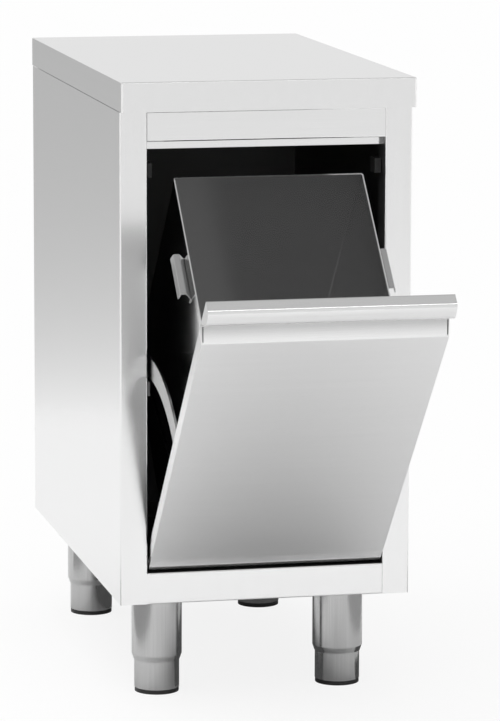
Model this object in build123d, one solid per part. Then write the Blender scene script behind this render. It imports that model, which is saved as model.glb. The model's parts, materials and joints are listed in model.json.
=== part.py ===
from build123d import *
from math import asin, cos, degrees, radians, sin
import os

# A waste cabinet in folded stainless sheet, 400 x 700 x 850 mm, on four adjustable legs.
# Its door tilts forward about two pins near its lower edge and carries a lift-out bin.
# It is drawn with the door tilted out against its stop, as it stands when it is filled.
# Units are millimetres, the front faces -Y and +Z is up.

# Overall size
width = 400.0
depth = 700.0
height = 850.0
origin_shift = 179.0        # from the cabinet's middle forward to the middle with the door out
front_overhang = 18.0       # worktop in front of the cabinet's front frame
side_overhang = 1.0

# Worktop
apron_height = 40.0
worktop_sheet = 1.5
worktop_corner = 3.0
worktop_edge = 2.0
worktop_gap = 1.2           # shadow gap between the apron and the body
hem_width = 30.0            # the apron's hem, folded inwards over the body
board_thickness = 18.0
board_gap = 0.5

# Body
leg_height = 146.0          # floor to the underside of the body
body_sheet = 1.2
bend = 2.0                  # outside radius of a fold
stile_width = 37.0
stile_return = 38.0         # deep enough to carry the stay's stop behind the closed door
stile_lip = 9.0
rear_flange = 20.0
edge_flange = 20.0
top_rail_height = 39.8
top_rail_return = 18.5
top_rail_lip = 11.0
top_rail_flange = 32.0
bottom_rail_height = 42.3
bottom_rail_return = 20.0
bottom_rail_lip = 10.0
floor_lap = 14.0            # the floor's front edge on the bottom rail's flange
floor_edge = 15.0
rear_rail_depth = 46.0
rear_rail_height = 30.0
bracket_width = 40.0
bracket_foot = 16.0
bracket_sheet = 2.0
bracket_bend = 0.5          # inside radius of a bracket's folds
bracket_inset = 55.0        # from the end of a rail to the middle of a bracket
screw_diameter = 4.0
screw_length = 14.0
screw_head = 8.0
screw_head_height = 2.4

# Door
door_side_gap = 2.0
door_bottom_gap = 8.2
door_top_gap = 4.0          # between the closed door and the top rail's lip
door_thickness = 20.6
door_proud = 3.0            # the closed door stands this far in front of the frame
door_sheet = 1.2
door_bend = 1.6
liner_sheet = 1.0

# Grip folded along the top of the door
grip_height = 60.5          # from the top of the door down to where the finger groove starts
groove_depth = 17.5
groove_root = 42.0          # depth of the groove's root below the top of the door
nose_height = 22.0
nose_proud = 1.0
nose_radius = 8.0
groove_radius = 3.0
groove_slit = 1.4           # relief cut between the groove and the end of the grip

# Hinge
open_angle = 43.5
pin_diameter = 6.0
pin_up = 7.0                # pin above the door's lower edge
pin_behind = 10.0           # pin behind the door's face
pin_head = 10.0
pin_head_height = 2.5
pin_clearance = 0.05
bush_diameter = 9.0
bush_flange = 14.0
bush_flange_height = 1.2
bush_length = 7.0

# Curved stays that stop the door
stay_radius = 278.0         # outside radius about the hinge pin
stay_width = 28.0
stay_thickness = 3.0
stay_tail = 8.0             # degrees of the stay behind its hook
stay_hook = 21.0            # how far the hook reaches in from the stay's inner edge
stay_round = 2.5
stay_notch_play = 0.5       # around a stay in the door's liner
stop_height = 19.0
stop_depth = 16.0
stop_reach = 7.5            # into the opening from the stile
stop_below = 8.3            # top of the stop below the stay's inner edge
stop_behind_door = 1.4      # front of the stop behind the closed door
stop_gap = 0.4
stop_round = 1.0
stop_screw_diameter = 5.0
stop_screw_head = 8.0
stop_screw_spacing = 9.0
bumper_height = 20.0
bumper_reach = 10.0
bumper_below_opening = 30.0
bumper_back = 7.0
bumper_gap = 0.6            # to the back of the closed door
bumper_side_gap = 1.0       # to the stile's return
bumper_round = 0.8

# Bin
bin_width = 256.0
bin_depth = 332.0
bin_height = 383.0
bin_sheet = 1.2
bin_corner = 2.5
bin_up = 12.0               # underside of the bin above the door's lower edge
bin_clearance = 0.5         # to the front wall of its carrier
rim_hem = 12.0
rim_sheet = 0.8
bin_handle_length = 66.0
bin_handle_reach = 18.0
bin_handle_flare = 2.5      # how far the outer edge leans out
bin_handle_top = 8.0
bin_handle_sheet = 1.5
bin_handle_below_rim = 28.0
bin_handle_rise = 10.0
bin_handle_lip = 10.0
bin_handle_foot_bend = 2.5
bin_handle_curl = 2.5
bin_handle_back = 114.0     # rear end of a handle in front of the bin's rear wall

# Bin carrier on the back of the door
carrier_sheet = 1.2
carrier_play = 1.2
carrier_floor_gap = 0.5
carrier_lip = 22.0
carrier_gusset = 110.0
carrier_rear_wall = 30.0

# Legs
leg_side_inset = 72.6       # leg centre from the worktop's side edge
leg_front_inset = 130.0
leg_rear_inset = 72.0
sleeve_diameter = 68.8
sleeve_wall = 1.5
sleeve_bottom = 45.0
sleeve_collar = 8.0         # height over which the sleeve is drawn in to the foot tube
sleeve_lip = 0.5            # edge of the collar around the foot tube
foot_diameter = 61.7
foot_wall = 1.5
foot_overlap = 55.0         # foot tube inside its sleeve
sleeve_play = 0.3
pad_height = 6.0
pad_plug = 8.0
pad_inset = 0.5             # pad's side inside the tube's side
spindle_diameter = 12.0
spindle_play = 0.08
spindle_engaged = 34.0
nut_across = 24.0
nut_bottom = 86.0
head_height = 10.0
stud_diameter = 10.0
stud_length = 14.0
leg_plate_sheet = 4.0
leg_plate_width = 90.0
stud_nut_across = 17.0
stud_nut_height = 6.0

# Places worked out from the sizes
body_half = width / 2 - side_overhang
inner_half = body_half - body_sheet
front_y = -depth / 2 + front_overhang
back_y = depth / 2
apron_bottom = height - apron_height
body_top = apron_bottom - worktop_gap
opening_half = body_half - stile_width
opening_bottom = leg_height + bottom_rail_height
opening_top = body_top - top_rail_height
floor_z = leg_height + body_sheet
floor_top = floor_z + body_sheet
back_panel_y = back_y - body_sheet
door_half = opening_half - door_side_gap
door_face_y = front_y - door_proud
door_bottom = opening_bottom + door_bottom_gap
door_height = opening_top - top_rail_lip - door_top_gap - door_bottom
hinge_y = door_face_y + pin_behind
hinge_z = door_bottom + pin_up
stile_lip_y = front_y + stile_return
stay_inner = stay_radius - stay_width
stay_outer_x = door_half - door_sheet
stop_y = door_face_y + door_thickness + stop_behind_door
bin_half = bin_width / 2
bin_front_y = door_face_y + door_thickness + carrier_sheet + bin_clearance
bin_back_y = bin_front_y + bin_depth
bin_bottom = door_bottom + bin_up
bin_rim = bin_bottom + bin_height
leg_x = width / 2 - leg_side_inset
leg_places = {
    "front_left": (-leg_x, -depth / 2 + leg_front_inset),
    "front_right": (leg_x, -depth / 2 + leg_front_inset),
    "rear_left": (-leg_x, depth / 2 - leg_rear_inset),
    "rear_right": (leg_x, depth / 2 - leg_rear_inset),
}
hinge_axis = Axis((0, hinge_y, hinge_z), (1, 0, 0))


def block(x, y, z):
    """A box between two values on each axis."""
    size = (x[1] - x[0], y[1] - y[0], z[1] - z[0])
    return Pos(x[0], y[0], z[0]) * Box(*size, align=(Align.MIN, Align.MIN, Align.MIN))


def rod(radius, place, length, direction="Z"):
    """A cylinder that starts at a place and runs along an axis."""
    turns = {"Z": (0, 0, 0), "X": (0, 90, 0), "-X": (0, -90, 0)}
    shape = Cylinder(radius, length, align=(Align.CENTER, Align.CENTER, Align.MIN))
    return Pos(*place) * Rotation(*turns[direction]) * shape


def sheet_section(points, sheet, radius):
    """The cut through a folded sheet, which lies to the left of the line of its outer face."""
    line = FilletPolyline(*points, radius=radius)
    return make_face(line.offset_2d(sheet, side=Side.LEFT, closed=True))


def fold_along_x(points, sheet, x_from, x_to, radius=bend):
    """A folded sheet of constant section along X. Points are (y, z)."""
    section = Plane.YZ * sheet_section(points, sheet, radius)
    return Pos(x_from, 0, 0) * extrude(section, x_to - x_from)


def fold_along_y(points, sheet, y_from, y_to, radius=bend):
    """A folded sheet of constant section along Y. Points are (x, z)."""
    section = Plane.XZ * sheet_section(points, sheet, radius)
    return Pos(0, y_to, 0) * extrude(section, y_to - y_from)


def fold_upright(points, sheet, z_from, z_to, radius=bend):
    """A folded sheet of constant section along Z. Points are (x, y)."""
    section = sheet_section(points, sheet, radius)
    return Pos(0, 0, z_from) * extrude(section, z_to - z_from)


def turned(points):
    """A solid of revolution about Z from points (radius, z)."""
    profile = Plane.XZ * make_face(Polyline(*points, close=True))
    return revolve(profile, Axis.Z)


def mirrored(shape):
    """The same piece for the other side of the cabinet."""
    return mirror(shape, about=Plane.YZ)


def tilted(shape):
    """A piece of the closed door moved to where it is with the door open."""
    return shape.rotate(hinge_axis, open_angle)


def save(name, shape):
    """Write one named piece, moved into the part's frame."""
    solids = shape.solids()
    moved = Compound([s.moved(Location((0, origin_shift, 0))) for s in solids])
    export_step(moved, f"parts/{name}.step")


# Worktop


def make_worktop():
    """The top: one sheet with a folded apron, welded corners and an inward hem."""
    x = width / 2
    y = depth / 2
    top = block((-x, x), (-y, y), (apron_bottom, height))
    top = fillet(top.edges().filter_by(Axis.Z), worktop_corner)
    top = fillet(top.faces().sort_by(Axis.Z)[-1].edges(), worktop_edge)
    sheet = worktop_sheet
    inside_x = (sheet - x, x - sheet)
    inside_y = (sheet - y, y - sheet)
    top -= block(inside_x, inside_y, (apron_bottom + sheet, height - sheet))
    window_x = (hem_width - x, x - hem_width)
    window_y = (hem_width - y, y - hem_width)
    return top - block(window_x, window_y, (apron_bottom, apron_bottom + sheet))


def board_bottom():
    return height - worktop_sheet - board_thickness


def make_worktop_board():
    """The board glued under the sheet, with pilot holes for the bracket screws."""
    x = width / 2 - worktop_sheet - board_gap
    y = depth / 2 - worktop_sheet - board_gap
    board = block((-x, x), (-y, y), (board_bottom(), height - worktop_sheet))
    for place in bracket_places():
        board -= rod(screw_diameter / 2, (place[0], place[3], board_bottom()), screw_length)
    return board


def bracket_places():
    """Middle x, front of the foot, the surface it stands on and the screw's y, for each bracket."""
    places = []
    front = front_y + top_rail_flange - bracket_foot
    rear = back_panel_y - body_sheet - rear_rail_depth
    to_screw = bracket_foot + bracket_foot / 2
    for x in (bracket_inset - opening_half, opening_half - bracket_inset):
        places.append((x, front, body_top, front + to_screw))
        places.append((x, rear, body_top - body_sheet, rear + to_screw))
    return places


def make_worktop_brackets():
    """Z-shaped brackets that carry the board on the two top rails."""
    brackets = Part()
    for x, y, z, screw_y in bracket_places():
        step = y + bracket_foot
        under = board_bottom() - bracket_sheet
        line = [(y, z), (step, z), (step, under), (step + bracket_foot, under)]
        half = bracket_width / 2
        shape = fold_along_x(line, bracket_sheet, x - half, x + half, bracket_sheet + bracket_bend)
        shape -= rod(screw_diameter / 2, (x, screw_y, under), bracket_sheet)
        brackets += shape
    return brackets


def make_worktop_screws():
    """Pan-head screws up through the brackets into the board."""
    screws = Part()
    for x, y, z, screw_y in bracket_places():
        head_z = board_bottom() - bracket_sheet - screw_head_height
        shank = screw_length + bracket_sheet
        screws += rod(screw_head / 2, (x, screw_y, head_z), screw_head_height)
        screws += rod(screw_diameter / 2, (x, screw_y, head_z + screw_head_height), shank)
    return screws


# Body


def make_side_panel():
    """Left side: wall, rear flange and front stile in one folded sheet."""
    x = body_half
    stile = opening_half
    line = [
        (rear_flange - x, back_y),
        (-x, back_y),
        (-x, front_y),
        (-stile, front_y),
        (-stile, stile_lip_y),
        (-stile - stile_lip, stile_lip_y),
    ]
    panel = fold_upright(line, body_sheet, leg_height, body_top)
    across = (body_sheet - x, edge_flange - x)
    along = (front_y + body_sheet, back_y - body_sheet)
    panel += block(across, along, (leg_height, leg_height + body_sheet))
    panel += block(across, along, (body_top - body_sheet, body_top))
    foot = (front_y + body_sheet, stile_lip_y - body_sheet)
    panel += block((body_sheet - x, -stile), foot, (leg_height, leg_height + body_sheet))
    behind = -stile - body_sheet
    panel -= rod(bush_diameter / 2, (behind, hinge_y, hinge_z), body_sheet, "X")
    for z in stop_screw_heights():
        panel -= rod(stop_screw_diameter / 2, (behind, stop_screw_y(), z), body_sheet, "X")
    return panel


def make_back_panel():
    """Flat sheet inside the side panels' rear flanges."""
    x = inner_half - (bend - body_sheet)
    return block((-x, x), (back_panel_y - body_sheet, back_panel_y), (floor_z, body_top - body_sheet))


def end_plates(y_range, z_range):
    """Plates that weld a rail to the stiles."""
    x = (opening_half - body_sheet, opening_half)
    plate = block(x, y_range, z_range)
    return plate + mirrored(plate)


def make_top_rail():
    """Front rail over the opening, with a lip that hides the closed door's top edge."""
    rear = front_y + top_rail_return
    line = [
        (front_y + top_rail_flange, body_top),
        (front_y, body_top),
        (front_y, opening_top),
        (rear, opening_top),
        (rear, opening_top - top_rail_lip),
    ]
    rail = fold_along_x(line, body_sheet, -opening_half, opening_half)
    inside = (front_y + body_sheet, rear)
    return rail + end_plates(inside, (opening_top + body_sheet, body_top - body_sheet))


def make_bottom_rail():
    """Front rail under the opening; the floor rests on its lower flange."""
    rear = front_y + bottom_rail_return
    line = [
        (rear, opening_bottom - bottom_rail_lip),
        (rear, opening_bottom),
        (front_y, opening_bottom),
        (front_y, leg_height),
        (stile_lip_y + floor_lap, leg_height),
    ]
    rail = fold_along_x(line, body_sheet, -opening_half, opening_half)
    inside = (front_y + body_sheet, rear - body_sheet)
    return rail + end_plates(inside, (leg_height + body_sheet, opening_bottom - body_sheet))


def make_floor_panel():
    """Floor tray with turned-up sides, holed for the leg studs."""
    x = inner_half
    line = [(-x, floor_z + floor_edge), (-x, floor_z), (x, floor_z), (x, floor_z + floor_edge)]
    panel = fold_along_y(line, body_sheet, stile_lip_y, back_panel_y - body_sheet)
    for x, y in leg_places.values():
        panel -= rod(stud_diameter / 2, (x, y, floor_z), body_sheet)
    return panel


def make_rear_rail():
    """Angle that joins the back panel to the side panels at the top."""
    rear = back_panel_y - body_sheet
    top = body_top - body_sheet
    line = [(rear, top - rear_rail_height), (rear, top), (rear - rear_rail_depth, top)]
    return fold_along_x(line, body_sheet, -inner_half, inner_half)


def make_leg_plate(y):
    """Stiffening plate across the floor that takes two leg studs."""
    x = inner_half - bend
    half = leg_plate_width / 2
    plate = block((-x, x), (y - half, y + half), (floor_top, floor_top + leg_plate_sheet))
    for side in (-leg_x, leg_x):
        plate -= rod(stud_diameter / 2, (side, y, floor_top), leg_plate_sheet)
    return plate


def make_stud_nuts():
    """Hexagon nuts on the leg studs, above the leg plates."""
    nuts = Part()
    z = floor_top + leg_plate_sheet
    hexagon = RegularPolygon(stud_nut_across / 2, 6, major_radius=False)
    for x, y in leg_places.values():
        nut = Pos(x, y, z) * extrude(hexagon - Circle(stud_diameter / 2), stud_nut_height)
        nuts += nut
    return nuts


# Legs


def make_leg_sleeve(x, y):
    """Upper tube of a leg, drawn in to a collar at its lower end."""
    r = sleeve_diameter / 2
    bore = foot_diameter / 2 + sleeve_play
    collar = sleeve_bottom + sleeve_collar
    points = [
        (bore, sleeve_bottom),
        (bore + sleeve_lip, sleeve_bottom),
        (r, collar),
        (r, leg_height),
        (r - sleeve_wall, leg_height),
        (r - sleeve_wall, collar),
        (bore, collar),
    ]
    return Pos(x, y, 0) * turned(points)


def make_leg_heads():
    """Plugs in the sleeves: a disc, a long nut for the spindle and a stud through the floor."""
    heads = Part()
    head_z = leg_height - head_height
    disc = sleeve_diameter / 2 - sleeve_wall
    bore = spindle_diameter / 2 + spindle_play
    hexagon = RegularPolygon(nut_across / 2, 6, major_radius=False)
    for x, y in leg_places.values():
        head = Pos(x, y, nut_bottom) * extrude(hexagon, head_z - nut_bottom)
        head += rod(disc, (x, y, head_z), head_height)
        head += rod(stud_diameter / 2, (x, y, leg_height), stud_length)
        heads += head - rod(bore, (x, y, nut_bottom), leg_height - body_sheet - nut_bottom)
    return heads


def make_foot_tube(x, y):
    """Lower tube of a leg, which slides up into the sleeve."""
    r = foot_diameter / 2
    w = foot_wall
    top = sleeve_bottom + foot_overlap
    points = [(r - w, pad_height), (r, pad_height), (r, top), (r - w, top)]
    return Pos(x, y, 0) * turned(points)


def make_foot_pad(x, y):
    """Plastic pad plugged into the foot tube."""
    r = foot_diameter / 2
    pad = rod(r - pad_inset, (x, y, 0), pad_height)
    return pad + rod(r - foot_wall, (x, y, pad_height), pad_plug)


def make_spindle(x, y):
    """Threaded spindle of a foot, drawn as a plain rod that stands on the pad's plug."""
    start = pad_height + pad_plug
    return rod(spindle_diameter / 2, (x, y, start), nut_bottom + spindle_engaged - start)


# Door


def door_outline():
    """The door's outline from the side as (y, z), from the lower rear corner to the upper one."""
    y = door_face_y
    z = door_bottom
    top = z + door_height
    rear = y + door_thickness
    points = [
        (rear, z),
        (y, z),
        (y, top - grip_height),
        (y + groove_depth, top - groove_root),
        (y - nose_proud, top - nose_height),
        (y + nose_proud, top),
        (rear, top),
    ]
    radii = [door_bend, door_bend, groove_radius, nose_radius, nose_radius]
    return FilletPolyline(*points, radius=radii)


def make_door_skin():
    """Front sheet of the door: face, folded sides, finger groove and rounded nose in one."""
    line = door_outline()
    section = Plane.YZ * make_face(line + Line(line @ 1, line @ 0))
    shape = Pos(-door_half, 0, 0) * extrude(section, 2 * door_half)
    back = shape.faces().sort_by(Axis.Y)[-1]
    skin = offset(shape, amount=-door_sheet, openings=back)
    slit_x = (door_half - door_sheet - groove_slit, door_half - door_sheet)
    top = door_bottom + door_height
    slit_z = (top - grip_height + door_sheet, top - groove_root - 2 * door_sheet)
    slit = block(slit_x, (door_face_y, door_face_y + door_thickness), slit_z)
    skin -= slit + mirrored(slit)
    hole = rod(pin_diameter / 2, (door_half - door_sheet, hinge_y, hinge_z), door_sheet, "X")
    return skin - hole - mirrored(hole)


def make_door_liner():
    """Flat sheet that closes the back of the door, notched where the stays pass."""
    x = door_half - door_sheet
    rear = door_face_y + door_thickness
    top = door_bottom + door_height - door_sheet
    liner = block((-x, x), (rear - liner_sheet, rear), (door_bottom + door_sheet, top))
    reach = rear - hinge_y
    play = stay_notch_play
    low = hinge_z + (stay_inner**2 - reach**2) ** 0.5 - play
    high = hinge_z + (stay_radius**2 - (reach - liner_sheet) ** 2) ** 0.5 + play
    notch = block((x - stay_thickness - play, x), (rear - liner_sheet, rear), (low, high))
    return liner - notch - mirrored(notch)


def make_hinge_pin():
    """Left pin: a head inside the door and a shank that reaches through the stile."""
    inner = door_half - door_sheet
    shank = door_side_gap + door_sheet + bush_length
    pin = rod(pin_head / 2, (-inner, hinge_y, hinge_z), pin_head_height, "X")
    return pin + rod(pin_diameter / 2, (-inner, hinge_y, hinge_z), shank, "-X")


def make_hinge_bush():
    """Left bush: a flanged plastic sleeve in the stile's return."""
    place = (-opening_half, hinge_y, hinge_z)
    bush = rod(bush_diameter / 2, place, bush_length, "-X")
    bush += rod(bush_flange / 2, place, bush_flange_height, "X")
    bore = (bush_flange_height - opening_half, hinge_y, hinge_z)
    return bush - rod(pin_diameter / 2 + pin_clearance, bore, bush_length + bush_flange_height, "-X")


def ring_sector(inner, outer, start, end):
    """Part of a flat ring about the hinge, in (y, z), with angles in degrees back from upright."""
    def at(radius, angle):
        return (hinge_y + radius * sin(radians(angle)), hinge_z + radius * cos(radians(angle)))

    middle = (start + end) / 2
    edges = [
        ThreePointArc(at(outer, start), at(outer, middle), at(outer, end)),
        Line(at(outer, end), at(inner, end)),
        ThreePointArc(at(inner, end), at(inner, middle), at(inner, start)),
        Line(at(inner, start), at(outer, start)),
    ]
    return make_face(edges)


def stop_radii():
    """Inner and outer distance of the stop from the hinge, over the pin."""
    outer = stay_inner - stop_below
    return outer - stop_height, outer


def hook_start():
    """Angle in the closed door of the hook's front edge, which meets the stop when open."""
    rear = stop_y + stop_depth + stop_gap
    inner = stop_radii()[0]
    return open_angle + degrees(asin((rear - hinge_y) / inner))


def make_stay():
    """Left stay: a flat bar curved about the hinge, with a hook that catches the stop."""
    front = -degrees(asin((pin_behind - door_sheet) / stay_radius))
    hook = hook_start()
    end = hook + stay_tail
    section = ring_sector(stay_inner, stay_radius, front, end)
    section += ring_sector(stay_inner - stay_hook, stay_radius, hook, end)
    bar = Pos(-stay_outer_x, 0, 0) * extrude(Plane.YZ * section, stay_thickness)
    corners = bar.edges().filter_by(Axis.X).sort_by(Axis.Y)
    tail = corners[2:]
    return fillet(tail, stay_round)


def stop_screw_heights():
    middle = hinge_z + stop_radii()[1] - stop_height / 2
    return (middle - stop_screw_spacing / 2, middle + stop_screw_spacing / 2)


def stop_screw_y():
    return stop_y + stop_depth / 2


def make_stay_stop():
    """Left stop: a small block on the stile's return."""
    inner, outer = stop_radii()
    x = (-opening_half, stop_reach - opening_half)
    y = (stop_y, stop_y + stop_depth)
    stop = block(x, y, (hinge_z + inner, hinge_z + outer))
    edges = stop.faces().sort_by(Axis.X)[-1].edges()
    return fillet(edges, stop_round)


def make_stop_screws():
    """Screws that hold the two stops, driven from inside the stiles."""
    screws = Part()
    for z in stop_screw_heights():
        start = (-opening_half - body_sheet, stop_screw_y(), z)
        screws += rod(stop_screw_diameter / 2, start, body_sheet, "X")
        screws += rod(stop_screw_head / 2, start, screw_head_height, "-X")
    return screws + mirrored(screws)


def make_door_bumper():
    """Left rubber buffer behind the closed door's upper corner."""
    high = opening_top - bumper_below_opening
    z = (high - bumper_height, high)
    front = door_face_y + door_thickness + bumper_gap
    rear = stile_lip_y + bumper_back
    inner = bumper_reach - opening_half
    bumper = block((bumper_side_gap - opening_half, inner), (front, rear), z)
    bumper += block((-opening_half - stile_lip, inner), (stile_lip_y, rear), z)
    face = bumper.faces().sort_by(Axis.Y)[0]
    return fillet(face.edges(), bumper_round)


# Bin and its carrier


def make_bin_carrier():
    """Tray on the back of the door that the bin stands in, with tapered side walls."""
    x = bin_half + carrier_play + carrier_sheet
    z = bin_bottom - carrier_floor_gap - carrier_sheet
    front = door_face_y + door_thickness
    rear = bin_back_y + carrier_play + carrier_sheet
    t = carrier_sheet
    points = [
        (front, z),
        (rear, z),
        (rear, z + carrier_lip),
        (front + carrier_rear_wall, z + carrier_gusset),
        (front, z + carrier_gusset),
    ]
    outline = Plane.YZ * make_face(Polyline(*points, close=True))
    tray = Pos(-x, 0, 0) * extrude(outline, 2 * x)
    room = Pos(t - x, 0, t) * extrude(outline, 2 * (x - t))
    room -= block((-x, x), (rear - t, rear), (z, z + carrier_gusset))
    tray -= room
    return tray + block((-x, x), (front, front + t), (z, z + carrier_gusset))


def bin_block(grown, z_from):
    """A block of the bin's plan with rounded upright edges, grown on every side."""
    x = bin_half + grown
    shape = block((-x, x), (bin_front_y - grown, bin_back_y + grown), (z_from, bin_rim))
    return fillet(shape.edges().filter_by(Axis.Z), bin_corner + grown)


def make_bin():
    """Open-topped bin with a hem folded outwards round its rim."""
    body = bin_block(0, bin_bottom)
    top = body.faces().sort_by(Axis.Z)[-1]
    shell = offset(body, amount=-bin_sheet, openings=top)
    hem_z = bin_rim - rim_hem
    return shell + (bin_block(rim_sheet, hem_z) - bin_block(0, hem_z))


def make_bin_handle():
    """Left handle: a curled strip on the bin's side wall, open underneath."""
    x = -bin_half
    z = bin_rim - bin_handle_below_rim
    outer = x - bin_handle_reach
    crest = outer + bin_handle_flare
    line = [
        (x, z - bin_handle_lip),
        (x, z),
        (crest + bin_handle_top, z + bin_handle_rise),
        (crest, z + bin_handle_rise),
        (outer, z),
    ]
    rear = bin_back_y - bin_handle_back
    radii = [bin_handle_foot_bend, bin_handle_curl, bin_handle_curl]
    return fold_along_y(line, bin_handle_sheet, rear - bin_handle_length, rear, radii)


def build():
    os.makedirs("parts", exist_ok=True)
    save("worktop", make_worktop())
    save("worktop_board", make_worktop_board())
    save("worktop_brackets", make_worktop_brackets())
    save("worktop_screws", make_worktop_screws())
    side = make_side_panel()
    save("side_panel_left", side)
    save("side_panel_right", mirrored(side))
    save("back_panel", make_back_panel())
    save("top_rail", make_top_rail())
    save("bottom_rail", make_bottom_rail())
    save("floor_panel", make_floor_panel())
    save("rear_rail", make_rear_rail())
    save("leg_plate_front", make_leg_plate(leg_places["front_left"][1]))
    save("leg_plate_rear", make_leg_plate(leg_places["rear_left"][1]))
    save("stud_nuts", make_stud_nuts())
    save("leg_heads", make_leg_heads())
    for name, (x, y) in leg_places.items():
        save(f"leg_sleeve_{name}", make_leg_sleeve(x, y))
        save(f"foot_tube_{name}", make_foot_tube(x, y))
        save(f"foot_pad_{name}", make_foot_pad(x, y))
        save(f"foot_spindle_{name}", make_spindle(x, y))
    pairs = {
        "hinge_bush": make_hinge_bush(),
        "stay_stop": make_stay_stop(),
        "door_bumper": make_door_bumper(),
        "hinge_pin": tilted(make_hinge_pin()),
        "door_stay": tilted(make_stay()),
        "bin_handle": tilted(make_bin_handle()),
    }
    for name, shape in pairs.items():
        save(f"{name}_left", shape)
        save(f"{name}_right", mirrored(shape))
    save("stop_screws", make_stop_screws())
    save("door_skin", tilted(make_door_skin()))
    save("door_liner", tilted(make_door_liner()))
    save("bin_carrier", tilted(make_bin_carrier()))
    save("bin_shell", tilted(make_bin()))
    print("hinge", 0, round(hinge_y + origin_shift, 3), round(hinge_z, 3))
    print("door height", round(door_height, 3), "bin rim when closed", round(bin_rim, 3))


build()
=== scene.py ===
# %% [markdown]
# # A stainless waste cabinet with its door tilted out
#
# The real thing is folded sheet steel on four adjustable legs. Its edges, folds, seams and fasteners
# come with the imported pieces. Nearly everything else that the eye reads on it is a reflection: of the
# floor in front, of the wall behind, of the shadow under the open door. So this lesson spends its
# effort on two things. The first is steel that blurs what it reflects the way brushed sheet does. The
# second is a plain studio whose floor and walls are worth reflecting.

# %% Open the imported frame
import json
from math import cos, pi, radians, sin

import bmesh
import bpy
from mathutils import Matrix, Vector


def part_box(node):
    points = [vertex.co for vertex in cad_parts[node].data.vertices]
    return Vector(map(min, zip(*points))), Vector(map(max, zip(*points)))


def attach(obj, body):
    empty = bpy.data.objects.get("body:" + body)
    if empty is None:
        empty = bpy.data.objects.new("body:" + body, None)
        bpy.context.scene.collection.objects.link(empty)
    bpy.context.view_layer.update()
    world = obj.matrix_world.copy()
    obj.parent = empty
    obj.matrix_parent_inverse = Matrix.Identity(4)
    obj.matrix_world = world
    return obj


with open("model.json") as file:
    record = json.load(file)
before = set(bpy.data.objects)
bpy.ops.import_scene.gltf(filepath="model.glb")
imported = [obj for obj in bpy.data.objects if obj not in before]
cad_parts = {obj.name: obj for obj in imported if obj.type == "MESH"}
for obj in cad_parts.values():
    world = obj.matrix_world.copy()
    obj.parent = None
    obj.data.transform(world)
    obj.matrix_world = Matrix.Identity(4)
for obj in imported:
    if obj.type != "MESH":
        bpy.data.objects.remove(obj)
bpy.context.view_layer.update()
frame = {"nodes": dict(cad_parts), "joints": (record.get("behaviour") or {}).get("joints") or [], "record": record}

nodes = frame["nodes"]
slot_of = {row["node"]: row["material_slot"] for row in frame["record"]["subparts"]}

# %% [markdown]
# ## The camera
#
# The photograph was taken with a long lens from the front left, a little above the worktop. Its
# place and angles were solved from the corners of the worktop, the body and the door opening, so
# they are plain numbers in metres and degrees. Yaw turns to the right, pitch down is negative. A new
# camera looks straight down, so a quarter turn about X comes first and makes it look ahead.

# %% Stand the camera where the photographer stood
camera_place = Vector((-1.213, -5.480, 1.3728))
camera_yaw = radians(12.599)
camera_pitch = radians(-9.361)
camera_roll = radians(0.167)
focal_pixels = 4141.2
picture_height = 721
sensor_height = 36.0
far_clip = 200.0

eye = bpy.data.cameras.new("photo_camera")
eye.sensor_fit = "VERTICAL"
eye.sensor_height = sensor_height
eye.lens = focal_pixels * sensor_height / picture_height
eye.clip_end = far_clip
camera = bpy.data.objects.new("photo_camera", eye)
bpy.context.scene.collection.objects.link(camera)
turn = Matrix.Rotation(-camera_yaw, 4, "Z") @ Matrix.Rotation(pi / 2 + camera_pitch, 4, "X")
camera.matrix_world = Matrix.Translation(camera_place) @ turn @ Matrix.Rotation(camera_roll, 4, "Z")
bpy.context.scene.camera = camera
print("lens", round(eye.lens, 1), "mm")

# %% [markdown]
# ## Working with shader nodes
#
# Every finish below is a small graph of nodes. The first helper adds a node and fills in its inputs,
# with plain values or with links. The others name the few steps that come back in each graph, so that
# a graph reads like a sum: work out, blend, bring to a range, measure along a direction.

# %% Helpers for node graphs


def add_node(tree, kind, inputs=(), **settings):
    """Add a node, set its properties, and fill in or link its inputs."""
    node = tree.nodes.new(kind)
    for name, value in settings.items():
        setattr(node, name, value)
    for name, value in dict(inputs).items():
        socket = node.inputs[name]
        if isinstance(value, bpy.types.NodeSocket):
            tree.links.new(value, socket)
        else:
            socket.default_value = value
    return node


def work_out(tree, operation, *values):
    """One sum on one to three values."""
    return add_node(tree, "ShaderNodeMath", dict(enumerate(values)), operation=operation).outputs[0]


def blend(tree, mask, plain, marked):
    """The plain value where the mask is 0 and the marked value where it is 1."""
    inputs = {"Factor": mask, 2: plain, 3: marked}
    return add_node(tree, "ShaderNodeMix", inputs, data_type="FLOAT").outputs[0]


def to_range(tree, value, low, high, start=0.0, end=1.0, kind="LINEAR"):
    """Bring a value that runs from start to end to one that runs from low to high."""
    inputs = {"Value": value, "From Min": start, "From Max": end, "To Min": low, "To Max": high}
    return add_node(tree, "ShaderNodeMapRange", inputs, interpolation_type=kind).outputs["Result"]


def measure_along(tree, place, direction):
    """How far a place lies along a direction."""
    inputs = {0: place, 1: direction}
    return add_node(tree, "ShaderNodeVectorMath", inputs, operation="DOT_PRODUCT").outputs["Value"]


def place_on_piece(tree):
    """The place on a piece at rest. It stays with the piece when a joint moves it."""
    return tree.nodes.new("ShaderNodeTexCoord").outputs["Object"]


print("six helpers for node graphs")

# %% [markdown]
# ## Groups and materials
#
# What several finishes share goes into a node group, which puts out only masks and values. The shader
# itself stays in the material, where an exporter can read it. The helpers start a group with its
# outputs, add its inputs, set a group into a graph, and start a material. The last one adds noise,
# which most of the finishes here are made of.

# %% Helpers for groups and materials


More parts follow.
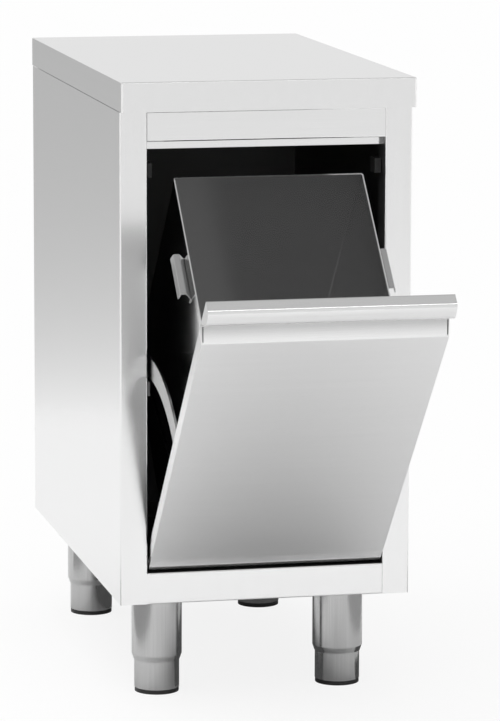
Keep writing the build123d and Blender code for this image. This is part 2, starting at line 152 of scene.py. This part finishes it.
def start_group(name, outputs):
    """A node group with named outputs. Returns its tree and its output node."""
    tree = bpy.data.node_groups.new(name, "ShaderNodeTree")
    for label in outputs:
        tree.interface.new_socket(label, in_out="OUTPUT", socket_type="NodeSocketFloat")
    return tree, tree.nodes.new("NodeGroupOutput")


def add_group_inputs(tree, inputs):
    """Give a node group named inputs and their first values. Returns its input node."""
    for label, (kind, value) in inputs.items():
        socket = tree.interface.new_socket(label, in_out="INPUT", socket_type=kind)
        socket.default_value = value
    return tree.nodes.new("NodeGroupInput")


def place_group(tree, group):
    """Set a node group into a graph."""
    return add_node(tree, "ShaderNodeGroup", node_tree=group)


def start_material(name):
    """A material with a bare Principled shader. Returns the material, its tree and the shader."""
    material = bpy.data.materials.new(name)
    material.use_nodes = True
    tree = material.node_tree
    tree.nodes.clear()
    shader = tree.nodes.new("ShaderNodeBsdfPrincipled")
    output = tree.nodes.new("ShaderNodeOutputMaterial")
    tree.links.new(shader.outputs["BSDF"], output.inputs["Surface"])
    return material, tree, shader


def add_noise(tree, place, scale, detail):
    inputs = {"Vector": place, "Scale": scale, "Detail": detail}
    return add_node(tree, "ShaderNodeTexNoise", inputs).outputs[0]


print("five helpers for groups and materials")

# %% [markdown]
# ## Brushed grain
#
# Brushed sheet carries thousands of fine scratches in one direction. They could be modelled as
# bumps alone, but most are narrower than a pixel and would only flicker. It is better to let them
# change the roughness and the tone a little, at three widths, and to keep the bump very weak. The
# group takes a stretch vector: a small number along the grain, large numbers across it.

# %% Build the grain group
first_stretch = (6.0, 900.0, 900.0)
wide_share = 0.35
fine_scale = 1.0
fine_detail = 3.0
wide_scale = 0.12
wide_detail = 2.0
cloud_scale = 5.0
cloud_detail = 3.0


def build_brushed_grain():
    tree, result = start_group("brushed_grain", ["Streak", "Cloud"])
    given = add_group_inputs(tree, {
        "Stretch": ("NodeSocketVector", first_stretch),
        "Coarse": ("NodeSocketFloat", wide_share),
    })
    place = place_on_piece(tree)
    inputs = {0: place, 1: given.outputs["Stretch"]}
    stretched = add_node(tree, "ShaderNodeVectorMath", inputs, operation="MULTIPLY").outputs[0]
    fine = add_noise(tree, stretched, fine_scale, fine_detail)
    wide = add_noise(tree, stretched, wide_scale, wide_detail)
    cloud = add_noise(tree, place, cloud_scale, cloud_detail)
    tree.links.new(blend(tree, given.outputs["Coarse"], fine, wide), result.inputs["Streak"])
    tree.links.new(cloud, result.inputs["Cloud"])
    return tree


brushed_grain = build_brushed_grain()
print("group", brushed_grain.name, "with", len(brushed_grain.nodes), "nodes")

# %% [markdown]
# ## The inside of the sheet
#
# Only the faces that show are brushed. The cabinet's inner faces are left plain and rougher, and
# their tone is set far darker than bare sheet: painted shade for the dim room inside the body. A mask
# tells the two apart by place: it is one inside a box a little smaller than the body, and zero
# outside. The box comes from the imported pieces.

# %% Build the inside mask
body_skin = 0.0009


def body_interior():
    """Lowest and highest corner of the room inside the body, a hair under its outer faces."""
    left_low, left_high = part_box("side_panel_left")
    right_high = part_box("side_panel_right")[1]
    back_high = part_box("back_panel")[1]
    low = Vector((left_low[0] + body_skin, left_low[1] + body_skin, left_low[2] + body_skin))
    high = Vector((right_high[0] - body_skin, back_high[1] - body_skin, left_high[2]))
    return low, high


def build_inside_mask(low, high):
    tree, result = start_group("inside_mask", ["Inside"])
    middle = (low + high) / 2
    half = (high - low) / 2
    inputs = {0: place_on_piece(tree), 1: middle}
    centred = add_node(tree, "ShaderNodeVectorMath", inputs, operation="SUBTRACT").outputs[0]
    spread = add_node(tree, "ShaderNodeVectorMath", {0: centred}, operation="ABSOLUTE").outputs[0]
    parts = add_node(tree, "ShaderNodeSeparateXYZ", {0: spread}).outputs
    in_x, in_y, in_z = (work_out(tree, "LESS_THAN", parts[axis], reach) for axis, reach in zip("XYZ", half))
    mask = work_out(tree, "MULTIPLY", work_out(tree, "MULTIPLY", in_x, in_y), in_z)
    tree.links.new(mask, result.inputs["Inside"])
    return tree


room_low, room_high = body_interior()
inside_mask = build_inside_mask(room_low, room_high)
print("inside the body is", [round(v, 3) for v in room_high - room_low], "m across, along and high")

# %% [markdown]
# ## The back of the door
#
# The door is a tray with a brushed front and a plainer skin behind. Here the mask is a plane: all that
# lies behind the front face of the liner counts as the back. The plane's direction follows from the
# hinge, because the door is packed tilted out by the whole range of its joint.

# %% Build the door-back mask
skin_behind = 0.0003


def find_door_facing():
    """Direction that the door's front faces at rest."""
    tilt = next(joint for joint in frame["joints"] if joint["name"] == "door_tilt")
    angle = radians(max(abs(limit) for limit in tilt["range_deg"]))
    return Vector((0, -cos(angle), -sin(angle)))


def furthest(name, direction):
    """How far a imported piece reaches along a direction."""
    return max(direction.dot(corner.co) for corner in nodes[name].data.vertices)


def build_door_back_mask(facing, liner_face):
    tree, result = start_group("door_back_mask", ["Back"])
    forward = measure_along(tree, place_on_piece(tree), facing)
    back = work_out(tree, "LESS_THAN", forward, liner_face + skin_behind)
    tree.links.new(back, result.inputs["Back"])
    return tree


door_facing = find_door_facing()
door_back_mask = build_door_back_mask(door_facing, furthest("door_liner", door_facing))
print("the door faces", [round(v, 3) for v in door_facing])

# %% [markdown]
# ## The finger groove
#
# The groove under the door's nose runs from grey at its root to nearly white at its lower fold.
# Reflections alone give little of that difference here, so the steel's tone carries it as a painted
# shade under the nose and a painted highlight along the fold. The shade is a factor on the tone. It
# runs down from the door's top edge along the door's own height, so it stays in the groove when the
# door swings.

# %% Build the groove's shade
groove_root = 0.042
groove_fold = 0.0605
# the next two factors are a painted shade at the groove's root and a painted highlight at its fold
groove_painted_shade = 0.68
groove_painted_highlight = 1.12


def build_groove_shade(upward, top):
    tree, result = start_group("groove_painted_light", ["Shade"])
    height = measure_along(tree, place_on_piece(tree), upward)
    depth = work_out(tree, "SUBTRACT", top, height)
    ramp = to_range(tree, depth, groove_painted_shade, groove_painted_highlight, groove_root, groove_fold, "SMOOTHSTEP")
    below_root = work_out(tree, "GREATER_THAN", depth, groove_root)
    above_fold = work_out(tree, "LESS_THAN", depth, groove_fold)
    in_groove = work_out(tree, "MULTIPLY", below_root, above_fold)
    tree.links.new(blend(tree, in_groove, 1.0, ramp), result.inputs["Shade"])
    return tree


door_upward = Vector((0, door_facing.z, -door_facing.y))
door_top = furthest("door_skin", door_upward)
groove_painted_light = build_groove_shade(door_upward, door_top)
print("the groove is", round((groove_fold - groove_root) * 1000, 1), "mm high on a door that reaches",
      round(door_top, 3), "m along its own height")

# %% [markdown]
# ## The inside of the bin
#
# The bin's two side walls are brushed outside. Inside they are plainer and darker, and the darker
# tone is painted shade for the inside of the bin. Both faces of a wall are only a sheet apart, so this
# mask marks all that lies between the outer faces, a hair under them. The rim is wider than the walls,
# so the walls are measured on the bin's lower half.

# %% Build the bin mask


def find_bin_reach():
    """How far the bin's side walls stand from the middle."""
    bin_low, bin_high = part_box("bin_shell")
    below_rim = (bin_low[2] + bin_high[2]) / 2
    corners = [corner.co for corner in nodes["bin_shell"].data.vertices]
    return max(abs(corner.x) for corner in corners if corner.z < below_rim)


def build_bin_mask(reach):
    tree, result = start_group("bin_mask", ["Inside"])
    across = add_node(tree, "ShaderNodeSeparateXYZ", {0: place_on_piece(tree)}).outputs["X"]
    inside = work_out(tree, "LESS_THAN", work_out(tree, "ABSOLUTE", across), reach - skin_behind)
    tree.links.new(inside, result.inputs["Inside"])
    return tree


bin_reach = find_bin_reach()
bin_mask = build_bin_mask(bin_reach)
print("the bin's sides stand", round(bin_reach * 1000, 1), "mm from the middle")

# %% [markdown]
# ## One function for all the steel
#
# Every piece of sheet is the same stainless steel, and only its surface differs. The function takes a
# tone, a roughness and the direction of the grain. Tone and roughness vary only a few percent along
# the scratches, because more reads as dirt. Faces that a mask marks get a tone and a roughness of
# their own; on the insides of the cabinet and the bin that darker tone is painted shade. A shade group
# may darken or lighten the tone from place to place, as painted shade and painted highlight.

# %% Write the steel function
rough_play = 0.06
cloud_share = 0.4
scratch_strength = 0.03
relief_depth = 0.0002


def make_steel(name, tone, roughness, stretch, tone_play=0.04, dull_and_shaded=None, shade=None):
    """Brushed steel. A mask group may come with the tone and roughness of the faces that it marks; on
    the insides of the cabinet and the bin that tone is painted shade. The shade argument is a group of
    painted shade and highlight whose value multiplies the tone."""
    material, tree, shader = start_material(name)
    grain = place_group(tree, brushed_grain)
    grain.inputs["Stretch"].default_value = stretch
    streak = grain.outputs["Streak"]
    level = to_range(tree, streak, tone * (1 - tone_play), tone * (1 + tone_play))
    mixed = blend(tree, cloud_share, streak, grain.outputs["Cloud"])
    rough = to_range(tree, mixed, roughness - rough_play / 2, roughness + rough_play / 2)
    # on the cabinet's and the bin's insides the marked tone is painted shade
    if dull_and_shaded:
        mask_group, marked_tone, dull_roughness = dull_and_shaded
        mask = place_group(tree, mask_group).outputs[0]
        level = blend(tree, mask, level, marked_tone)
        rough = blend(tree, mask, rough, dull_roughness)
    # the shade group paints shade and highlight into the tone
    if shade:
        level = work_out(tree, "MULTIPLY", level, place_group(tree, shade).outputs[0])
    color = add_node(tree, "ShaderNodeCombineColor", {"Red": level, "Green": level, "Blue": level})
    inputs = {"Strength": scratch_strength, "Distance": relief_depth, "Height": streak}
    relief = add_node(tree, "ShaderNodeBump", inputs)
    tree.links.new(color.outputs[0], shader.inputs["Base Color"])
    tree.links.new(rough, shader.inputs["Roughness"])
    tree.links.new(relief.outputs[0], shader.inputs["Normal"])
    shader.inputs["Metallic"].default_value = 1.0
    return material


print("roughness plays by", rough_play)

# %% [markdown]
# ## Stainless steel in several finishes
#
# The grain turns with each blank: along the worktop, up the side panels, across the door. The legs
# are drawn tube, duller and streakier than sheet. The brackets and rails that nobody sees are plain
# steel, and screws, studs and nuts are zinc plated, with a grain alike in all directions.

# %% Make the steel finishes
across_x = (8.0, 700.0, 700.0)
along_y = (700.0, 8.0, 700.0)
upright = (700.0, 700.0, 8.0)
no_grain = (300.0, 300.0, 300.0)

# Each of these is a mask, and the tone and roughness of what it marks.
# painted shade: the cabinet's inner faces are set dark for the dim room inside the body
cabinet_inside_painted_shade = (inside_mask, 0.2, 0.5)
door_back_skin = (door_back_mask, 0.75, 0.14)
# painted shade: the bin's inner faces are set darker for the shaded inside of the bin
bin_inside_painted_shade = (bin_mask, 0.52, 0.1)

steels = {
    "stainless_worktop": dict(tone=0.9, roughness=0.13, stretch=along_y),
    "stainless_panel": dict(tone=0.9, roughness=0.16, stretch=upright, dull_and_shaded=cabinet_inside_painted_shade),
    "stainless_door": dict(tone=0.85, roughness=0.16, stretch=across_x, dull_and_shaded=door_back_skin,
                           shade=groove_painted_light),
    "stainless_bin": dict(tone=0.85, roughness=0.12, stretch=upright, dull_and_shaded=bin_inside_painted_shade),
    "stainless_leg": dict(tone=0.53, roughness=0.17, stretch=upright, tone_play=0.25),
    "inner_steel": dict(tone=0.2, roughness=0.4, stretch=across_x),
    "zinc": dict(tone=0.5, roughness=0.32, stretch=no_grain),
}
finishes = {slot: make_steel(slot, **look) for slot, look in steels.items()}
print(len(finishes), "finishes of steel")

# %% [markdown]
# ## Board, plastic and rubber
#
# The board under the worktop is raw chipboard: flakes of two tones. Pads and bushes are black
# moulded plastic with a fine spark-eroded skin, the door's buffers a duller rubber.

# %% Make the other finishes
moulded_darkest = 0.8
moulded_lightest = 1.25
moulded_rough_play = 0.06
moulded_strength = 0.3
moulded_detail = 2.0
flakes_per_metre = 260.0
flake_dark = (0.50, 0.38, 0.25, 1)
flake_pale = (0.70, 0.57, 0.41, 1)
flake_strength = 0.4
flake_depth = 0.0004
board_roughness = 0.8


def make_moulded(name, tone, roughness, skin_scale):
    material, tree, shader = start_material(name)
    skin = add_noise(tree, place_on_piece(tree), skin_scale, moulded_detail)
    level = to_range(tree, skin, tone * moulded_darkest, tone * moulded_lightest)
    color = add_node(tree, "ShaderNodeCombineColor", {"Red": level, "Green": level, "Blue": level})
    rough = to_range(tree, skin, roughness - moulded_rough_play, roughness + moulded_rough_play)
    inputs = {"Strength": moulded_strength, "Distance": relief_depth, "Height": skin}
    relief = add_node(tree, "ShaderNodeBump", inputs)
    tree.links.new(color.outputs[0], shader.inputs["Base Color"])
    tree.links.new(rough, shader.inputs["Roughness"])
    tree.links.new(relief.outputs[0], shader.inputs["Normal"])
    return material


def make_chipboard():
    material, tree, shader = start_material("board")
    inputs = {"Vector": place_on_piece(tree), "Scale": flakes_per_metre}
    flakes = add_node(tree, "ShaderNodeTexVoronoi", inputs).outputs["Distance"]
    inputs = {"Factor": flakes, 6: flake_dark, 7: flake_pale}
    color = add_node(tree, "ShaderNodeMix", inputs, data_type="RGBA").outputs[2]
    inputs = {"Strength": flake_strength, "Distance": flake_depth, "Height": flakes}
    relief = add_node(tree, "ShaderNodeBump", inputs).outputs[0]
    tree.links.new(color, shader.inputs["Base Color"])
    tree.links.new(relief, shader.inputs["Normal"])
    shader.inputs["Roughness"].default_value = board_roughness
    return material


finishes["board"] = make_chipboard()
finishes["black_plastic"] = make_moulded("black_plastic", tone=0.02, roughness=0.42, skin_scale=900.0)
finishes["black_rubber"] = make_moulded("black_rubber", tone=0.025, roughness=0.7, skin_scale=500.0)
print(len(finishes), "finishes in all")

# %% [markdown]
# ## Six pieces with a finish of their own
#
# A slot of the record serves several pieces, and a few of them are worked differently. The top rail
# is brushed across, and its lip inside the opening is as bright as its front. The carrier, the two
# stays behind the door and the bin's handles are plainer, and their darker tone is painted shade for
# parts that sit in the shade of the opening.

# %% Dress every piece
own_finish = {
    "top_rail": make_steel("stainless_rail", tone=0.9, roughness=0.12, stretch=across_x),
    # painted shade: the carrier's dark tone stands for the shade inside the opening
    "bin_carrier": make_steel("carrier_painted_shade", tone=0.3, roughness=0.2, stretch=upright),
}
for side in ("left", "right"):
    # painted shade: the stays and the bin's handles are set darker for the shade inside the opening
    stay = make_steel(f"stay_painted_shade_{side}", tone=0.4, roughness=0.2, stretch=along_y)
    handle = make_steel(f"handle_painted_shade_{side}", tone=0.5, roughness=0.14, stretch=along_y)
    own_finish[f"door_stay_{side}"] = stay
    own_finish[f"bin_handle_{side}"] = handle

for name, piece in nodes.items():
    piece.data.materials.clear()
    piece.data.materials.append(own_finish.get(name, finishes[slot_of[name]]))
print(len(finishes), "finishes on", len(nodes), "pieces,", len(own_finish), "with one of their own")

# %% [markdown]
# ## The ground weld
#
# On the left the bottom rail is welded to the stile and the weld is ground flush, so that no seam
# shows there, while the right side is butted and keeps its line. A ground weld is a very flat bead.
# It is made as a lens-shaped strip, a tenth of a millimetre proud, whose back is sunk in the sheets.

# %% Lay the weld over the left seam
weld_half = 0.0022
weld_proud = 0.00012
weld_inset = 0.0006
weld_steps = 8


def add_weld_end(strip, middle, face, height):
    """The corners at one end of the strip: over the crown, then back behind the face."""
    ring = []
    for step in range(weld_steps + 1):
        side = 2 * step / weld_steps - 1
        crown = face - weld_proud * (1 - side * side)
        ring.append(strip.verts.new((middle + side * weld_half, crown, height)))
    for side in (1, -1):
        ring.append(strip.verts.new((middle + side * weld_half, face + weld_proud, height)))
    return ring


def make_weld():
    rail_low, rail_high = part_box("bottom_rail")
    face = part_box("side_panel_left")[0][1]
    strip = bmesh.new()
    lower = add_weld_end(strip, rail_low[0], face, rail_low[2] + weld_inset)
    upper = add_weld_end(strip, rail_low[0], face, rail_high[2] - weld_inset)
    for here in range(len(lower)):
        after = (here + 1) % len(lower)
        strip.faces.new((lower[here], lower[after], upper[after], upper[here]))
    strip.faces.new(list(reversed(lower)))
    strip.faces.new(upper)
    bmesh.ops.recalc_face_normals(strip, faces=strip.faces)
    mesh = bpy.data.meshes.new("ground_weld")
    strip.to_mesh(mesh)
    strip.free()
    weld = bpy.data.objects.new("ground_weld", mesh)
    bpy.context.scene.collection.objects.link(weld)
    mesh.materials.append(finishes["stainless_panel"])
    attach(weld, "cabinet")
    return weld


print("weld with", len(make_weld().data.polygons), "faces")

# %% [markdown]
# ## The studio floor
#
# A metal object shows its room, so the room is part of the finish. The floor is a plain pale sheet
# that really is lit and really carries the object's shadow, because the tilted door looks straight
# down at it. For the camera alone it is brightened towards white: most of what the camera sees of it
# is an even glow, and the rest is the lit floor with its shadow.

# %% Lay the floor
floor_size = 60.0
floor_tone = 0.95
floor_glow = 0.87


def lay_sheet(name, width, length):
    """A flat rectangle with an empty material. Returns the object and the material's tree."""
    x, y = width / 2, length / 2
    mesh = bpy.data.meshes.new(name)
    mesh.from_pydata([(-x, -y, 0), (x, -y, 0), (x, y, 0), (-x, y, 0)], [], [(0, 1, 2, 3)])
    sheet = bpy.data.objects.new(name, mesh)
    bpy.context.scene.collection.objects.link(sheet)
    material = bpy.data.materials.new(name)
    material.use_nodes = True
    material.node_tree.nodes.clear()
    mesh.materials.append(material)
    return sheet, material.node_tree


def make_floor():
    floor, tree = lay_sheet("studio_floor", floor_size, floor_size)
    matt = add_node(tree, "ShaderNodeBsdfDiffuse", {"Color": (floor_tone, floor_tone, floor_tone, 1)})
    white = add_node(tree, "ShaderNodeEmission", {"Strength": 1.0})
    seen = tree.nodes.new("ShaderNodeLightPath").outputs["Is Camera Ray"]
    share = work_out(tree, "MULTIPLY", seen, floor_glow)
    mix = add_node(tree, "ShaderNodeMixShader", {0: share, 1: matt.outputs[0], 2: white.outputs[0]})
    output = tree.nodes.new("ShaderNodeOutputMaterial")
    tree.links.new(mix.outputs[0], output.inputs["Surface"])
    return floor


print("floor", [round(v) for v in make_floor().dimensions[:2]], "m")

# %% [markdown]
# ## The light
#
# There are no lamps, and the world does three jobs. What lights the floor comes mostly from overhead,
# a little from the front left, so that the shadow under the door is deep. What the steel mirrors is
# flatter: pale round the horizon and greyer overhead, as in a room with a darker ceiling. What the
# camera sees past the floor's end is white.

# %% Light the room
horizon_level = 0.8
zenith_level = 0.544
dimming_starts = 0.25
dimming_ends = 0.95
low_light = 0.024
main_light = 2.96
light_focus = 4.0
light_from = Vector((-0.22, -0.12, 0.95)).normalized()


def make_world():
    world = bpy.data.worlds.new("studio")
    bpy.context.scene.world = world
    world.use_nodes = True
    tree = world.node_tree
    tree.nodes.clear()
    direction = tree.nodes.new("ShaderNodeTexCoord").outputs["Generated"]
    height = add_node(tree, "ShaderNodeSeparateXYZ", {0: direction}).outputs["Z"]
    walls = to_range(tree, height, horizon_level, zenith_level, dimming_starts, dimming_ends, "SMOOTHSTEP")
    toward = work_out(tree, "MAXIMUM", measure_along(tree, direction, light_from), 0.0)
    steep = work_out(tree, "POWER", toward, light_focus)
    light = work_out(tree, "MULTIPLY_ADD", steep, main_light, low_light)
    path = tree.nodes.new("ShaderNodeLightPath").outputs
    mirrored = work_out(tree, "MAXIMUM", path["Is Glossy Ray"], path["Is Transmission Ray"])
    room = blend(tree, mirrored, light, walls)
    strength = blend(tree, path["Is Camera Ray"], room, 1.0)
    inputs = {"Color": (1, 1, 1, 1), "Strength": strength}
    back = add_node(tree, "ShaderNodeBackground", inputs)
    output = tree.nodes.new("ShaderNodeOutputWorld")
    tree.links.new(back.outputs[0], output.inputs["Surface"])


make_world()
bpy.context.scene.view_settings.view_transform = "Standard"
print("light from", [round(v, 2) for v in light_from])

# %% [markdown]
# ## Cards that only the steel sees
#
# A photographer of metal stands grey and white cards round it. Six cards do that here, and they show
# in reflections alone:
#
# - a grey flag behind and to the left darkens the upper part of the left side panel
# - a low card in front greys the worktop's front edge and the top rail a little
# - a bright bar high in front draws the thin line along the nose of the grip
# - a dark card under the cabinet, a painted shadow of it on the floor, darkens the legs' inner edges
# - two grey cards on the floor beside it shade the legs' outer flanks, so that they look round
#
# A card's tone changes from its lower edge upward, and settles over a fixed height.

# %% Stand the cards
card_fade = 0.2
card_lift = 0.002


def make_card(name, place, target, size, low_level, high_level):
    """A card that faces the target and shows in reflections only."""
    card, tree = lay_sheet(name, *size)
    look = Vector(target) - Vector(place)
    card.matrix_world = Matrix.Translation(place) @ look.to_track_quat("Z", "Y").to_matrix().to_4x4()
    for seen_by in ("visible_camera", "visible_diffuse", "visible_transmission", "visible_shadow"):
        setattr(card, seen_by, False)
    height = add_node(tree, "ShaderNodeSeparateXYZ", {0: place_on_piece(tree)}).outputs["Y"]
    above_edge = work_out(tree, "ADD", height, size[1] / 2)
    fall = work_out(tree, "EXPONENT", work_out(tree, "MULTIPLY", above_edge, -1 / card_fade))
    level = work_out(tree, "MULTIPLY_ADD", fall, low_level - high_level, high_level)
    glow = add_node(tree, "ShaderNodeEmission", {"Strength": level})
    output = tree.nodes.new("ShaderNodeOutputMaterial")
    tree.links.new(glow.outputs[0], output.inputs["Surface"])
    return card


# Each row: name, middle, point that it faces, width and height, tone at the lower edge, tone above.
standing_cards = [
    ("grey_flag", (-1.2, 2.1, 0.55), (-1.2, 0, 0.55), (2.4, 1.1), 0.9, 0.48),
    ("front_card", (0.6, -3.2, 0.35), (0.6, 0, 0.35), (3.4, 0.7), 0.9, 0.8),
    ("front_bar", (0, -3.0, 3.4), (0, 0, 0.7), (3.0, 0.3), 3.4, 3.4),
]
# Each row: name, middle across and along, width and length, tone.
lying_cards = [
    # painted shadow: a dark card where the cabinet's shadow falls on the floor, seen only in reflections
    ("under_card", (0.1, 0.4), (0.36, 0.92), 0.1),
    ("floor_card_left", (-0.72, -0.05), (0.54, 1.25), 0.45),
    ("floor_card_right", (0.72, -0.05), (0.54, 1.25), 0.45),
]
for name, place, target, size, low_level, high_level in standing_cards:
    make_card(name, place, target, size, low_level, high_level)
for name, (x, y), size, level in lying_cards:
    make_card(name, (x, y, card_lift), (x, y, 1), size, level, level)
print(len(standing_cards), "cards stand and", len(lying_cards), "lie on the floor")
